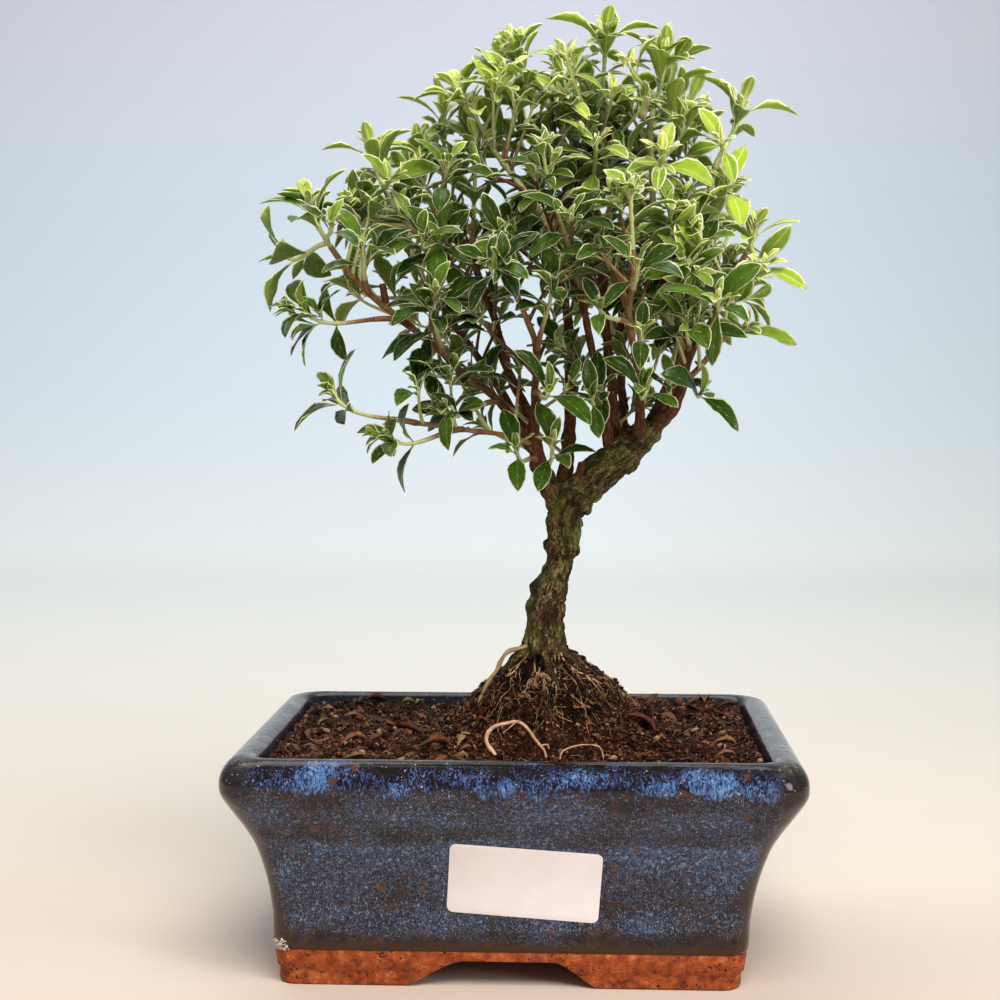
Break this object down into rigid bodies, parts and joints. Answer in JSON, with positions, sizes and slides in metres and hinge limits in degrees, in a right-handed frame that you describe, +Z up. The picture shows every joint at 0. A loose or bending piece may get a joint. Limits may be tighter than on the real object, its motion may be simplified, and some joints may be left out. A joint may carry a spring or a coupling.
{
  "type": "serissa bonsai in a rectangular pot",
  "caption": "Small serissa bonsai: a bent trunk with a rounded crown of small cream-edged leaves, in a blue-glazed rectangular pot filled with soil.",
  "frame": {"origin": "centre of the pot's foot, on the surface that it stands on", "axes": "+Z up, +X to the right and -Y towards the viewer who faces the pot's labelled front"},
  "size_m": [0.1762, 0.1314, 0.298],
  "materials": {
    "glaze": "glossy mottled blue glaze over dark brown",
    "mesh": "moulded",
    "label": "smooth coated sticker",
    "soil": "damp crumbs of peat and bark",
    "bark": "rough fissured bark",
    "root": "bare smooth root",
    "leaf": "satin leaves with cream margins"
  },
  "bodies": {
    "root": {"pot": "glaze", "drain_mesh_left": "mesh", "drain_mesh_right": "mesh", "label": "label", "soil": "soil", "trunk": "bark", "root_loop": "root", "shoot_01": "leaf", "shoot_02": "leaf", "shoot_03": "leaf", "shoot_04": "leaf", "shoot_05": "leaf", "shoot_06": "leaf", "shoot_07": "leaf", "shoot_08": "leaf", "shoot_09": "leaf", "shoot_10": "leaf", "shoot_11": "leaf", "shoot_12": "leaf", "shoot_13": "leaf", "shoot_14": "leaf", "shoot_15": "leaf", "shoot_16": "leaf", "shoot_17": "leaf", "shoot_18": "leaf", "shoot_19": "leaf", "shoot_20": "leaf", "shoot_21": "leaf", "shoot_22": "leaf", "shoot_23": "leaf", "shoot_24": "leaf", "shoot_25": "leaf", "shoot_26": "leaf", "shoot_27": "leaf", "shoot_28": "leaf", "shoot_29": "leaf", "shoot_30": "leaf", "shoot_31": "leaf", "shoot_32": "leaf", "shoot_33": "leaf", "shoot_34": "leaf", "shoot_35": "leaf", "shoot_36": "leaf", "shoot_37": "leaf", "shoot_38": "leaf", "shoot_39": "leaf", "shoot_40": "leaf", "shoot_41": "leaf", "shoot_42": "leaf", "shoot_43": "leaf", "shoot_44": "leaf", "shoot_45": "leaf", "shoot_46": "leaf", "shoot_47": "leaf", "shoot_48": "leaf", "shoot_49": "leaf", "shoot_50": "leaf", "shoot_51": "leaf"}
  },
  "joints": []
}
